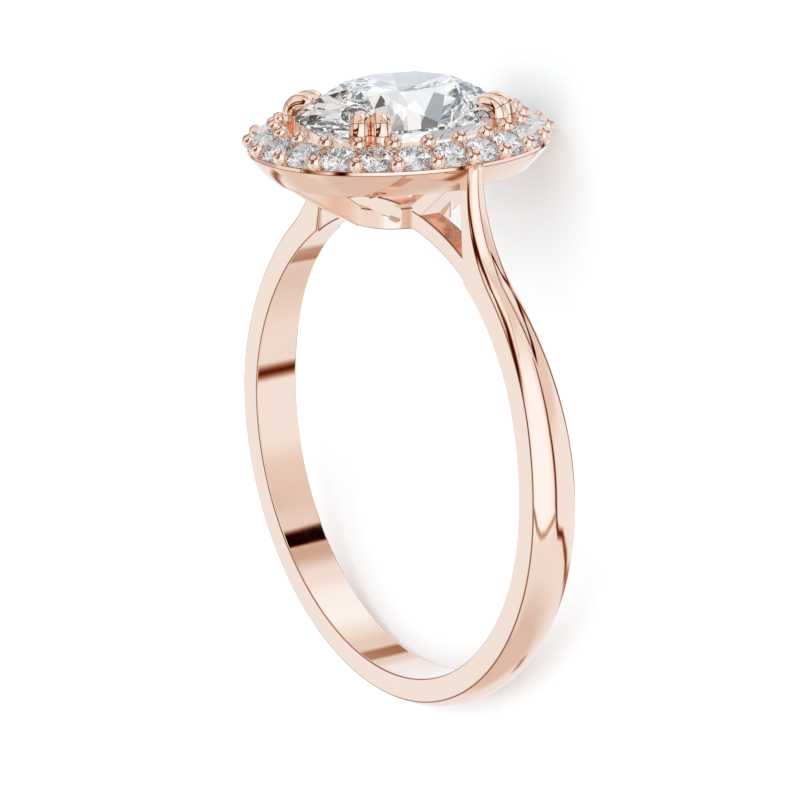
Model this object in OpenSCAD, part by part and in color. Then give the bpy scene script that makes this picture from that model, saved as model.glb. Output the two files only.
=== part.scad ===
// Pave diamond ring: an oval halo of small stones round one oval stone, on a band
// with a rounded crest, whose shoulders rise to the halo. It lies on its side.
//
// Frame of the ring itself: the finger goes in along Y, the head is up +Z and the
// shoulders are at +X and -X, with the centre of the finger hole at the origin.
// lay_down() turns that frame so that the ring rests on z = 0.

/* [Finger hole] */
// Diameter of the finger hole
finger_d = 16.5; // [15.5:0.1:18]

/* [Band] */
// Width of the band over its side faces
band_w = 1.76; // [1.5:0.02:2]
// Thickness of the band at its side faces
edge_t = 0.88; // [0.8:0.02:1]
// Radius across the crest of the band's outer face
crest_r = 1; // [0.9:0.02:1.1]
// Lean of the outer face on each side of the crest
flank_a = 22; // [20:0.5:24]
// Height above the hole's centre at which the band starts to narrow
taper_z = 1.2; // [0:0.1:2]
// Lean of each side face towards the head
taper_a = 3.4; // [3:0.1:3.8]

/* [Shoulders] */
// Radius of the hollow curve from the band up to the halo
arm_curve_r = 4.8; // [4.6:0.1:5]
// Distance of the shoulder's crest from the middle, at the halo
arm_x = 4.77; // [4.7:0.01:4.85]
// Distance of the shoulder's inner face from the middle, at the halo's underside
arm_in_x = 4.13; // [4:0.01:4.2]
// Lean of the shoulder's inner face
arm_in_a = 8; // [6:0.5:10]

/* [Bridge and base] */
// Width of the bridge over the finger
bridge_w = 0.84; // [0.7:0.02:0.9]
// Thickness of the bridge
bridge_t = 0.65; // [0.6:0.01:0.7]
// Half length of the base ring, along the finger
base_a = 1.95; // [1.8:0.01:2]
// Half width of the base ring
base_b = 1.4; // [1.3:0.01:1.5]
// Wall of the base ring
base_wall = 0.6; // [0.5:0.02:0.7]

/* [Halo] */
// Half length of the halo at its rim, along the finger
halo_a = 5.47; // [5.3:0.01:5.6]
// Half width of the halo at its rim
halo_b = 4.58; // [4.5:0.01:4.7]
// Radius of the halo's two end arcs
end_r = 4.1; // [4:0.05:4.2]
// Height of the rim above the centre of the finger hole
rim_z = 10.82; // [10.7:0.01:10.9]
// Height of the rim's upright edge
rim_h = 0.11; // [0.08:0.01:0.14]
// Depth of the halo's outer wall under the rim
wall_h = 0.89; // [0.8:0.01:1]
// Distance that the outer wall draws in
wall_in = 0.765; // [0.7:0.005:0.85]
// Width of the halo's top face, seen from above
halo_w = 1.3; // [1.25:0.01:1.35]
// Outward lean of the halo's stones
halo_lean = 30; // [28:0.5:32]
// Number of halo stones
halo_n = 22; // [22:2:22]

/* [Halo stones] */
// Diameter of a halo stone
melee_d = 1.22; // [1.16:0.01:1.24]
// Distance of a halo stone's centre in from the rim
melee_in = 0.52; // [0.5:0.01:0.54]
// Height of a halo stone's girdle above the halo's face
melee_up = 0.09; // [0.08:0.01:0.12]
// Radius of a bead that holds the halo stones
bead_r = 0.28; // [0.26:0.01:0.29]
// Distance in from the rim of the roots of the outer beads
outer_bead_in = 0.19; // [0.17:0.01:0.21]
// Distance in from the rim of the roots of the inner beads
inner_bead_in = 1.05; // [1.02:0.01:1.08]
// Height of a bead's centre above its root on the halo's face
bead_up = 0.16; // [0.14:0.01:0.18]

/* [Centre stone] */
// Half length of the centre stone, along the finger
stone_a = 3.82; // [3.75:0.01:3.85]
// Half width of the centre stone
stone_b = 2.94; // [2.88:0.01:2.96]
// Height of the centre stone's girdle above the centre of the finger hole
girdle_z = 11.98; // [11.9:0.01:12.05]
// Height of its crown
crown_h = 1.02; // [0.95:0.01:1.1]
// Width of its table, as a share of its own width
center_table = 0.56; // [0.52:0.01:0.6]
// Thickness of its girdle
girdle_t = 0.1; // [0.06:0.01:0.14]
// Depth of its pavilion
pavilion_h = 2.55; // [2.4:0.01:2.6]
// Clearance between a stone and its metal
stone_gap = 0.03; // [0.02:0.005:0.04]

/* [Claws] */
// Radius of a claw
claw_r = 0.345; // [0.32:0.005:0.36]
// Distance between the two claws of a pair
claw_pitch = 0.735; // [0.7:0.005:0.76]
// Direction of a pair from the band's side, round the halo
claw_dir = 34; // [32:0.5:36]
// Distance of the claws in from the rim
claw_in = 1.45; // [1.42:0.01:1.48]
// Height of the top of the claws above the centre of the finger hole
claw_top_z = 12.68; // [12.6:0.01:12.75]
// Reach of a claw's tip over the stone, from the middle of the claw
claw_reach = 0.6; // [0.55:0.01:0.65]
// Radius of a claw's tip
claw_tip_r = 0.24; // [0.22:0.01:0.26]

/* [Gallery] */
// Width of the four struts from the base ring to the halo
strut_w = 0.8; // [0.7:0.02:0.84]

/* [Hidden] */
$fn = 96;
rose_gold = "#E6BFA8";
diamond = "#EEF2F4";

finger_r = finger_d / 2;
edge_r = finger_r + edge_t;
// Half width of the crest's arc, the arc's height, and the crest's height over the edges
crest_w = crest_r * sin(flank_a);
crest_h = crest_r * (1 - cos(flank_a));
ridge_h = crest_h + (band_w / 2 - crest_w) * tan(flank_a);
ridge_r = edge_r + ridge_h;
rough = 0.4; // metal that the finger hole's cutter takes away
sink = 0.25; // depth that a strut goes into the halo
far = 40; // longer than the ring

// The shoulder's hollow curve touches the band's circle at arm_dir above the side
arm_dir = acos((arm_x + arm_curve_r) / (ridge_r + arm_curve_r));
curve_c = (ridge_r + arm_curve_r) * [cos(arm_dir), sin(arm_dir)];

// The oval is four arcs: two round the ends, and two wider ones along the sides
side_r = ((halo_a - end_r) ^ 2 + halo_b ^ 2 - end_r ^ 2) / (2 * (halo_b - end_r));
join_dir = atan2(halo_a - end_r, side_r - halo_b);

// Proportions of a round brilliant
melee_crown = 0.15 * melee_d;
melee_girdle = 0.025 * melee_d;
melee_pavilion = 0.43 * melee_d;
melee_table = 0.56;

lip_z = rim_z + rim_h;
wall_z = rim_z - wall_h;
face_slope = tan(halo_lean);
bridge_r = finger_r + bridge_t;

// Lean of the ring: the floor touches the band's far edge and two far outer beads
bead_dir = oval_dir(halo_n / 4 - 0.5, melee_in);
bead_y = oval_point(bead_dir, outer_bead_in)[1] + bead_up * sin(halo_lean) * sin(bead_dir);
bead_z = face_z(outer_bead_in) + bead_up * cos(halo_lean);
foot_gap = [bead_y - band_w / 2, bead_z + edge_r];
lean = atan2(foot_gap[0], foot_gap[1]) + asin(bead_r / norm(foot_gap));
floor_drop = band_w / 2 * cos(lean) + edge_r * sin(lean);
// The ring reaches from the crest at its foot to the centre stone's table
foot_reach = (ridge_r - crest_r) * cos(lean) + crest_r;
head_reach = (girdle_z + crown_h) * cos(lean) + center_table * stone_a * sin(lean);

// Height of the halo's top face at a distance in from the rim
function face_z(s) = lip_z + s * face_slope;

// Direction round the oval after i of halo_n equal steps along it, s in from the rim
function oval_dir(i, s) =
    let (
        l_side = (side_r - s) * join_dir,
        l_end = (end_r - s) * (90 - join_dir),
        q = 4 * i / halo_n,
        k = floor(q),
        u = (k % 2 == 0 ? q - k : 1 - q + k) * (l_side + l_end),
        d = u < l_side ? u / (side_r - s) : join_dir + (u - l_side) / (end_r - s)
    )
    k % 2 == 0 ? 90 * k + d : 90 * (k + 1) - d;

// Point on the oval, s in from the rim, whose outward direction is dir
function oval_point(dir, s) =
    let (
        c = cos(dir),
        d = sin(dir),
        on_side = abs(d) < sin(join_dir),
        x = on_side ? (side_r - s) * abs(c) - (side_r - halo_b) : (end_r - s) * abs(c),
        y = on_side ? (side_r - s) * abs(d) : (end_r - s) * abs(d) + halo_a - end_r
    )
    [x * sign(c), y * sign(d)];

// Half width of the band at a height, with an eased start
function half_w(z) =
    let (ease = 1.6, t = z - taper_z, s = tan(taper_a))
    t <= -ease ? band_w / 2
    : t >= ease ? band_w / 2 - s * t
    : band_w / 2 - s * (t + ease) ^ 2 / (4 * ease);

module lay_down() {
    translate([(foot_reach - head_reach) / 2, 0, floor_drop])
        rotate([0, 0, -90])
            rotate([lean - 90, 0, 0])
                children();
}

// What children draw round the Z axis goes round the finger
module round_finger() {
    rotate([90, 0, 0]) children();
}

module on_both_sides() {
    children();
    mirror([1, 0, 0]) children();
}

// Sweeps a section of [inset, height] points along the oval
module oval_sweep(section) {
    for (turn = [0, 180])
        rotate([0, 0, turn]) {
            translate([halo_b - side_r, 0, 0])
                rotate([0, 0, -join_dir])
                    rotate_extrude(angle = 2 * join_dir)
                        polygon([for (p = section) [side_r - p[0], p[1]]]);
            translate([0, halo_a - end_r, 0])
                rotate([0, 0, join_dir])
                    rotate_extrude(angle = 180 - 2 * join_dir)
                        polygon([for (p = section) [end_r - p[0], p[1]]]);
        }
}

// Outer face of a section whose crest is at [0, 0], down to a depth: two straight
// flanks, as wide as asked for, that meet in the crest's arc
module crest_section(depth, half_width) {
    fall = crest_h + (half_width - crest_w) * tan(flank_a);
    polygon([
        [-depth, -half_width], [-fall, -half_width], [-crest_h, -crest_w],
        [-crest_h, crest_w], [-fall, half_width], [-depth, half_width]
    ]);
    intersection() {
        translate([-crest_r, 0]) circle(crest_r);
        translate([-crest_h, -crest_w]) square([2 * crest_h, 2 * crest_w]);
    }
}

// Band, up to where the shoulders leave its circle
module band() {
    round_finger()
        rotate([0, 0, 180 - arm_dir])
            rotate_extrude(angle = 180 + 2 * arm_dir)
                translate([ridge_r, 0])
                    crest_section(ridge_r - finger_r + rough, band_w / 2);
}

// One shoulder: its inner face leans, and its outer face is hollow along its length
module shoulder() {
    start = (finger_r - rough) * [cos(arm_dir), sin(arm_dir)];
    past_curve = (ridge_r + 0.6) * [cos(arm_dir), sin(arm_dir)];
    low_z = 6.3;
    difference() {
        round_finger()
            linear_extrude(band_w, center = true)
                polygon([
                    start, past_curve,
                    [halo_b + 0.5, lip_z - 0.5 * face_slope],
                    [halo_b, lip_z],
                    [arm_in_x + (wall_z - lip_z) * tan(arm_in_a), lip_z],
                    [arm_in_x + (wall_z - low_z) * tan(arm_in_a), low_z]
                ]);
        round_finger()
            translate(curve_c)
                rotate_extrude()
                    difference() {
                        translate([0, -band_w]) square([arm_curve_r + band_w, 2 * band_w]);
                        translate([arm_curve_r, 0]) rotate(180) crest_section(3 * band_w, 2 * band_w);
                    }
    }
}

// Band and shoulders between side faces that lean together towards the head
module hoop() {
    heights = [-0.4, 0, 0.4, 0.8, 1.2, 1.6, 2, 2.4, 2.8, 14];
    intersection() {
        union() {
            band();
            on_both_sides() shoulder();
        }
        rotate([90, 0, 90])
            linear_extrude(far, center = true)
                polygon(concat(
                    [[-band_w / 2, -far / 2], [band_w / 2, -far / 2]],
                    [for (z = heights) [half_w(z), z]],
                    [for (i = [len(heights) - 1:-1:0]) [-half_w(heights[i]), heights[i]]]
                ));
    }
}

// Arch that goes on with the finger hole's circle under the head
module bridge() {
    half_span = 36;
    round_finger()
        rotate([0, 0, 90 - half_span])
            rotate_extrude(angle = 2 * half_span)
                translate([finger_r - rough, -bridge_w / 2])
                    square([rough + bridge_t, bridge_w]);
}

// Small oval ring on the bridge, open under the stone's point
module base_ring() {
    difference() {
        base_oval(0, finger_r - rough, bridge_r);
        base_oval(base_wall, finger_r - 1, bridge_r + 1);
    }
}

// An upright oval of four arcs, drawn in from the base ring's outline
module base_oval(inset, z0, z1) {
    r1 = 0.9 * base_b;
    r2 = ((base_a - r1) ^ 2 + base_b ^ 2 - r1 ^ 2) / (2 * (base_b - r1));
    translate([0, 0, z0])
        union() {
            intersection() {
                translate([base_b - r2, 0, 0]) cylinder(h = z1 - z0, r = r2 - inset);
                translate([r2 - base_b, 0, 0]) cylinder(h = z1 - z0, r = r2 - inset);
                dir = atan2(base_a - r1, r2 - base_b);
                y = (r2 - inset) * sin(dir);
                translate([-base_b, -y, 0]) cube([2 * base_b, 2 * y, z1 - z0]);
            }
            for (s = [-1, 1])
                translate([0, s * (base_a - r1), 0])
                    cylinder(h = z1 - z0, r = r1 - inset);
        }
}

// Four straight struts from the base ring out to the halo's underside
module struts() {
    for (side = [0, 1]) {
        mirror([0, side, 0])
            rotate([90, 0, 90])
                linear_extrude(strut_w, center = true)
                    polygon([
                        [base_a - 0.8, finger_r - rough], [base_a, finger_r - 0.1], [halo_a - wall_in, wall_z],
                        [halo_a - wall_in, wall_z + sink], [halo_a - halo_w - 0.7, wall_z + sink],
                        [base_a - 0.8, finger_r + 0.2]
                    ]);
        mirror([side, 0, 0])
            rotate([90, 0, 0])
                linear_extrude(strut_w - 0.02, center = true)
                    polygon([
                        [base_b - 0.5, bridge_r - 0.35], [base_b + 0.05, bridge_r - 0.35],
                        [halo_b - wall_in - 0.3, wall_z], [halo_b - wall_in - 0.3, wall_z + sink],
                        [halo_b - halo_w - 0.3, wall_z + sink], [base_b - 0.5, bridge_r - 0.1]
                    ]);
    }
}

// Halo: a tilted top face, a rim and a wall that draws in below
module halo_tray() {
    oval_sweep([
        [0, rim_z], [0.03, lip_z], [halo_w, face_z(halo_w)], [halo_w, wall_z + sink], [wall_in, wall_z]
    ]);
}

// Places children on the halo's face, s in from the rim and i steps round,
// with Z along the stones' outward lean
module on_halo(i, s, up) {
    dir = oval_dir(i, melee_in);
    p = oval_point(dir, s);
    translate([p[0], p[1], face_z(s)])
        rotate([0, 0, dir])
            rotate([0, halo_lean, 0])
                translate([0, 0, up])
                    children();
}

module beads() {
    for (i = [0:halo_n - 1])
        for (s = [outer_bead_in, inner_bead_in])
            on_halo(i, s, bead_up) sphere(bead_r);
}

// Holes that the halo stones sit in: a cone for the stone's point, and a straight
// hole round its girdle and crown that also cuts into the beads
module seats() {
    seat_r = melee_d / 2 + stone_gap;
    depth = melee_pavilion * seat_r / melee_d * 2;
    clear_h = 0.6;
    for (i = [0:halo_n - 1])
        on_halo(i + 0.5, melee_in, melee_up - melee_girdle - stone_gap - depth)
            rotate_extrude()
                polygon([[0, 0], [seat_r, depth], [seat_r, depth + clear_h], [0, depth + clear_h]]);
}

// One claw: a post with a rounded head and a tip over the stone
module claw(dir) {
    p = oval_point(dir, claw_in);
    head_z = claw_top_z - claw_r - 0.02;
    translate([p[0], p[1], 0])
        rotate([0, 0, dir + 180]) {
            translate([0, 0, wall_z + 0.2]) cylinder(h = head_z - wall_z - 0.2, r = claw_r);
            translate([0.05, 0, head_z]) sphere(claw_r + 0.02);
            translate([0.05, 0, head_z])
                rotate([0, 92, 0])
                    cylinder(h = claw_reach - 0.05, r1 = claw_r, r2 = claw_tip_r);
            translate([claw_reach, 0, head_z - 0.02]) sphere(claw_tip_r + 0.01);
        }
}

module claws() {
    half_step = claw_pitch / 2 / (side_r - claw_in) * 180 / PI;
    for (pair = [claw_dir, 180 - claw_dir, 180 + claw_dir, -claw_dir])
        for (side = [-1, 1])
            claw(pair + side * half_step);
}

// A brilliant cut, half_x by half_y, with the top of its girdle at z = 0:
// a table, 8 stars, 8 mains and 16 halves above, and 16 halves and 8 mains below
module brilliant(half_x, half_y, crown, girdle, pavilion, table, grow = 0) {
    n = 16;
    star = table + 0.52 * (1 - table);
    low = 0.24;
    step = 360 / n;
    sx = half_x + grow;
    sy = half_y + grow;
    up = grow * 1.2;
    star_z = crown * (1 - star * cos(step)) / (1 - table);
    low_z = pavilion * (1 - low * cos(step));
    top = [for (k = [0:7]) [table * cos(2 * k * step), table * sin(2 * k * step), crown + up]];
    stars = [for (k = [0:7]) [star * cos((2 * k + 1) * step), star * sin((2 * k + 1) * step), star_z + up]];
    upper = [for (k = [0:n - 1]) [cos(k * step), sin(k * step), up]];
    lower = [for (k = [0:n - 1]) [cos(k * step), sin(k * step), -girdle - up]];
    halves = [for (k = [0:7]) [low * cos((2 * k + 1) * step), low * sin((2 * k + 1) * step),
                               -girdle - low_z - up]];
    culet = [[0, 0, -girdle - pavilion - up]];
    points = [for (p = concat(top, stars, upper, lower, halves, culet)) [p[0] * sx, p[1] * sy, p[2]]];
    // first index of each set of points
    s0 = 8;
    u0 = 16;
    l0 = u0 + n;
    h0 = l0 + n;
    c0 = h0 + 8;
    faces = concat(
        [[for (k = [7:-1:0]) k]],
        [for (k = [0:7]) [k, (k + 1) % 8, s0 + k]],
        [for (k = [0:7]) [k, s0 + k, u0 + 2 * k, s0 + (k + 7) % 8]],
        [for (k = [0:7]) [s0 + k, u0 + 2 * k + 1, u0 + 2 * k]],
        [for (k = [0:7]) [s0 + k, u0 + (2 * k + 2) % n, u0 + 2 * k + 1]],
        [for (k = [0:n - 1]) [u0 + k, u0 + (k + 1) % n, l0 + (k + 1) % n, l0 + k]],
        [for (k = [0:7]) [h0 + k, l0 + 2 * k, l0 + 2 * k + 1]],
        [for (k = [0:7]) [h0 + k, l0 + 2 * k + 1, l0 + (2 * k + 2) % n]],
        [for (k = [0:7]) [h0 + k, c0, h0 + (k + 7) % 8, l0 + 2 * k]]
    );
    polyhedron(points, faces);
}

module center_cut(grow) {
    translate([0, 0, girdle_z])
        brilliant(stone_b, stone_a, crown_h, girdle_t, pavilion_h, center_table, grow);
}

module ring_metal() {
    color(rose_gold)
        lay_down()
            difference() {
                union() {
                    hoop();
                    bridge();
                    base_ring();
                    struts();
                    halo_tray();
                    claws();
                    beads();
                }
                seats();
                center_cut(stone_gap);
                round_finger() cylinder(h = far, r = finger_r, center = true);
            }
}

module center_stone() {
    color(diamond) lay_down() center_cut(0);
}

module halo_stone(i) {
    color(diamond)
        lay_down()
            on_halo(i - 0.5, melee_in, melee_up)
                brilliant(melee_d / 2, melee_d / 2, melee_crown, melee_girdle, melee_pavilion, melee_table);
}

ring_metal();
center_stone();
for (i = [1:halo_n])
    halo_stone(i);
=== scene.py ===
"""A rose gold ring with an oval stone in a halo of small stones, lying on its side.

The metal is rebuilt here with rounded edges, a domed band and beads with necks, all in the
ring's own frame: the finger goes in along Y, the head is up +Z, the shoulders are at +X and
-X, and the middle of the finger hole is the origin, in millimetres. RingFrame lays it down.
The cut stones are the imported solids, with a diamond finish.
"""

import logging
import math
from contextlib import contextmanager
from dataclasses import dataclass, field
from enum import Enum
from typing import Callable, Iterator

import bmesh
import bpy
from mathutils import Matrix, Vector

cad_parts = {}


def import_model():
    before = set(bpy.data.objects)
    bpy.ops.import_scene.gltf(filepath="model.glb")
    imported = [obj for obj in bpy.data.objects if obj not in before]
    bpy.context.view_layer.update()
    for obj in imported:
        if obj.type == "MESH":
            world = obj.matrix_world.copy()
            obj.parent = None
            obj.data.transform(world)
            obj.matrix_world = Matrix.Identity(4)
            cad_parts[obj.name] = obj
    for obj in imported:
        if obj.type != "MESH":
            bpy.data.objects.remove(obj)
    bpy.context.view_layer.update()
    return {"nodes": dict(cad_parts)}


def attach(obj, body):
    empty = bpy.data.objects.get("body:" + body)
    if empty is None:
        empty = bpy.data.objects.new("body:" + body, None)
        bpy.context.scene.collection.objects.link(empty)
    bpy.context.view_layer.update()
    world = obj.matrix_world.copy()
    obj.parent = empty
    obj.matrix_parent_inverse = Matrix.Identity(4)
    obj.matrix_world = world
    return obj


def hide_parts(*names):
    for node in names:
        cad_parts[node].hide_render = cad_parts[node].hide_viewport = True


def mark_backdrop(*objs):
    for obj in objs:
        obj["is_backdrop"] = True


MM = 0.001
METAL_NODE = "ring_metal"
STONE_GAP = 0.03
MERGE_DISTANCE = 0.0005
LINE_WIDTH = 0.034

logger = logging.getLogger("ring")

Section = list[Vector]
Object = bpy.types.Object
Face = bpy.types.MeshPolygon
Material = bpy.types.Material
Tree = bpy.types.NodeTree
Socket = bpy.types.NodeSocket


class Mark(Enum):
    """Faces of the metal with a painted dark reflection line or a painted reflection of gold in gold,
    by the name of their attribute.
    """

    # a painted dark reflection line on narrow faces
    EDGE = "painted_dark_line"
    # a painted reflection of gold in gold, on faces under the head
    HOLLOW = "hollow"


# Small tools


def linear(code: str) -> tuple[float, float, float]:
    """Turns an sRGB hex colour into linear red, green and blue.

    Args:
        code: Six hex digits, such as "E6C5B3".

    Returns:
        The three linear values.
    """
    parts = [int(code[i : i + 2], 16) / 255 for i in (0, 2, 4)]
    red, green, blue = (p / 12.92 if p <= 0.04045 else ((p + 0.055) / 1.055) ** 2.4 for p in parts)
    return red, green, blue


def pick_only(*objects: Object) -> None:
    """Selects these objects alone and makes the first one active.

    Args:
        objects: The objects.
    """
    bpy.ops.object.select_all(action="DESELECT")
    for obj in objects:
        obj.select_set(True)
    bpy.context.view_layer.objects.active = objects[0]


@contextmanager
def editing(obj: Object) -> Iterator[None]:
    """Opens an object in edit mode, with all of its mesh selected, and closes it after.

    Args:
        obj: The object.

    Yields:
        Nothing, while the object is open.
    """
    pick_only(obj)
    bpy.ops.object.mode_set(mode="EDIT")
    bpy.ops.mesh.select_mode(type="VERT")
    bpy.ops.mesh.select_all(action="SELECT")
    yield
    bpy.ops.object.mode_set(mode="OBJECT")


def close_shell(merge: float = MERGE_DISTANCE) -> None:
    """Merges an edited mesh's doubled points, fills its holes and turns its faces outward.

    Args:
        merge: The distance in mm within which points are the same.
    """
    bpy.ops.mesh.select_all(action="SELECT")
    bpy.ops.mesh.remove_doubles(threshold=merge)
    bpy.ops.mesh.fill_holes(sides=0)
    bpy.ops.mesh.normals_make_consistent(inside=False)


def move_picked(obj: Object, before: Section, after: Section) -> None:
    """Moves the selected vertices from one section's points to the next one's.

    Args:
        obj: The object in edit mode.
        before: The places where the vertices are now.
        after: The places that they go to, in the same order.
    """
    targets = {tuple(round(c, 4) for c in p): q for p, q in zip(before, after)}
    mesh = bmesh.from_edit_mesh(obj.data)
    for vertex in mesh.verts:
        if vertex.select:
            vertex.co = targets[tuple(round(c, 4) for c in vertex.co)]
    bmesh.update_edit_mesh(obj.data)


def draw_out(name: str, sections: list[Section]) -> Object:
    """Extrudes a closed section along a path, with its own shape at each station.

    Args:
        name: The new object's name.
        sections: The section's points at each station, equally many at each. Where the last
            station is the first one again, the tube closes on itself; otherwise it is capped.

    Returns:
        The new object.
    """
    bpy.ops.object.select_all(action="DESELECT")
    bpy.ops.mesh.primitive_circle_add(vertices=len(sections[0]))
    obj = bpy.context.object
    obj.name = obj.data.name = name
    for vertex, place in zip(obj.data.vertices, sections[0]):
        vertex.co = place
    sections = [[Vector(v.co) for v in obj.data.vertices], *sections[1:]]
    with editing(obj):
        for before, after in zip(sections, sections[1:]):
            bpy.ops.mesh.extrude_edges_move()
            move_picked(obj, before, after)
        close_shell()
    return obj


def rounded(
    corners: list[tuple[float, float, float]], steps: int = 4, ease: float = 0.0
) -> list[tuple[float, float]]:
    """Rounds the corners of a closed outline.

    Args:
        corners: The outline's corners, each with the radius of its rounding.
        steps: The number of straight steps in each rounding.
        ease: What its outer steps gain and its middle ones lose, as a share of the rounding.

    Returns:
        The points of the rounded outline.
    """
    points: list[tuple[float, float]] = []
    for i, (x, y, radius) in enumerate(corners):
        if radius == 0:
            points.append((x, y))
            continue
        corner = Vector((x, y))
        back = (Vector(corners[i - 1][:2]) - corner).normalized()
        ahead = (Vector(corners[(i + 1) % len(corners)][:2]) - corner).normalized()
        half = back.angle(ahead) / 2
        middle = corner + (back + ahead).normalized() * radius / math.sin(half)
        start = corner + back * radius / math.tan(half) - middle
        end = corner + ahead * radius / math.tan(half) - middle
        turn = start.angle_signed(end)
        for k in range(steps + 1):
            share = k / steps + ease * math.sin(2 * math.pi * k / steps)
            spoke = start.copy()
            spoke.rotate(Matrix.Rotation(-turn * share, 2))
            points.append(tuple(middle + spoke))
    return points


def apply_modifier(obj: Object, kind: str, **settings: object) -> None:
    """Adds a modifier to an object and applies it.

    Args:
        obj: The object.
        kind: The modifier's type.
        settings: The modifier's settings by name.
    """
    pick_only(obj)
    modifier = obj.modifiers.new(kind.lower(), kind)
    for key, value in settings.items():
        setattr(modifier, key, value)
    bpy.ops.object.modifier_apply(modifier=modifier.name)


def smooth(obj: Object, angle: float = 35) -> None:
    """Shades an object smooth, with its flat faces kept flat.

    Args:
        obj: The object.
        angle: The angle between faces, in degrees, past which an edge stays sharp.
    """
    pick_only(obj)
    bpy.ops.object.shade_smooth_by_angle(angle=math.radians(angle))
    apply_modifier(obj, "WEIGHTED_NORMAL", keep_sharp=True, weight=100)


def mark_faces(obj: Object, mark: Mark, chosen: Callable[[Face], bool]) -> None:
    """Writes an attribute that is 1 on the chosen faces and 0 on the others.

    Args:
        obj: The object, in the ring's frame.
        mark: The kind of mark.
        chosen: Tells whether a face is marked.
    """
    marks = obj.data.attributes.new(mark.value, "FLOAT", "CORNER")
    for face in obj.data.polygons:
        if chosen(face):
            for corner in face.loop_indices:
                marks.data[corner].value = 1.0


def is_narrow(obj: Object, face: Face, widest: float = LINE_WIDTH) -> bool:
    """Tells whether a face's shortest edge is under a length in mm."""
    points = [obj.data.vertices[i].co for i in face.vertices]
    return min((a - b).length for a, b in zip(points, points[1:] + points[:1])) < widest


def paint_dark_lines(obj: Object, widest: float = LINE_WIDTH) -> None:
    """Marks the narrow faces of the rounded edges, which get a painted dark reflection line."""
    mark_faces(obj, Mark.EDGE, lambda face: is_narrow(obj, face, widest))


def copy_of(obj: Object, name: str) -> Object:
    """Copies an object with a mesh of its own.

    Args:
        obj: The object.
        name: The copy's name.

    Returns:
        The copy.
    """
    twin = obj.copy()
    twin.data = obj.data.copy()
    twin.name = twin.data.name = name
    bpy.context.collection.objects.link(twin)
    return twin


def join(objects: list[Object], name: str) -> Object:
    """Joins objects into one.

    Args:
        objects: The objects.
        name: The joined object's name.

    Returns:
        The joined object.
    """
    pick_only(*objects)
    bpy.ops.object.join()
    result = bpy.context.object
    result.name = result.data.name = name
    return result


def carve(obj: Object, cutter: Object) -> None:
    """Cuts one object's shape out of another and deletes the cutter."""
    apply_modifier(obj, "BOOLEAN", operation="DIFFERENCE", solver="EXACT", object=cutter)
    bpy.data.objects.remove(cutter)


# Frames and curves


@dataclass(frozen=True)
class RingFrame:
    """How the ring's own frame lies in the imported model's frame."""

    lean: float = 13.0379
    drop: float = 2.917001
    shift: float = -1.978592

    @property
    def matrix(self) -> Matrix:
        """The turn and move from the ring's frame in mm to the model's frame in metres."""
        turn = Matrix.Rotation(math.radians(-90), 4, "Z") @ Matrix.Rotation(
            math.radians(self.lean - 90), 4, "X"
        )
        return Matrix.Scale(MM, 4) @ Matrix.Translation((self.shift, 0, self.drop)) @ turn

    def direction(self, vector: tuple[float, float, float]) -> Vector:
        """Turns a direction of the ring's frame into the model's frame."""
        return (self.matrix.to_3x3() @ Vector(vector)).normalized()

    def lay_down(self, obj: Object) -> None:
        """Moves an object's mesh from the ring's frame into the model's frame."""
        obj.data.transform(self.matrix)
        obj.data.update()


@dataclass(frozen=True)
class Oval:
    """An oval of four arcs, and the ovals inside it at a constant distance."""

    half_length: float
    half_width: float
    end_radius: float

    @property
    def side_radius(self) -> float:
        """Radius of the two wide arcs."""
        a, b, r = self.half_length, self.half_width, self.end_radius
        return ((a - r) ** 2 + b**2 - r**2) / (2 * (b - r))

    @property
    def join(self) -> float:
        """Direction in which a wide arc meets an end arc."""
        return math.atan2(self.half_length - self.end_radius, self.side_radius - self.half_width)

    def point(self, direction: float, inset: float) -> Vector:
        """Gives the point whose outward direction this is.

        Args:
            direction: The direction in radians, from +X towards +Y.
            inset: The distance in from the outline.

        Returns:
            The point, at height 0.
        """
        c, s = math.cos(direction), math.sin(direction)
        if abs(s) < math.sin(self.join):
            radius = self.side_radius - inset
            x, y = radius * abs(c) - self.side_radius + self.half_width, radius * abs(s)
        else:
            radius = self.end_radius - inset
            x, y = radius * abs(c), radius * abs(s) + self.half_length - self.end_radius
        return Vector((math.copysign(x, c), math.copysign(y, s), 0))

    def direction_at(self, share: float, inset: float) -> float:
        """Gives the direction reached after a share of the way round the oval.

        Args:
            share: The share, from 0 on the +X side to 1 back there.
            inset: The distance in from the outline at which the way is measured.

        Returns:
            The direction in radians.
        """
        wide = (self.side_radius - inset) * self.join
        end = (self.end_radius - inset) * (math.pi / 2 - self.join)
        quarter = math.floor(4 * share)
        part = 4 * share - quarter
        way = (part if quarter % 2 == 0 else 1 - part) * (wide + end)
        if way < wide:
            turn = way / (self.side_radius - inset)
        else:
            turn = self.join + (way - wide) / (self.end_radius - inset)
        start = math.pi / 2 * (quarter if quarter % 2 == 0 else quarter + 1)
        return start + turn if quarter % 2 == 0 else start - turn


# Metal


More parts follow.
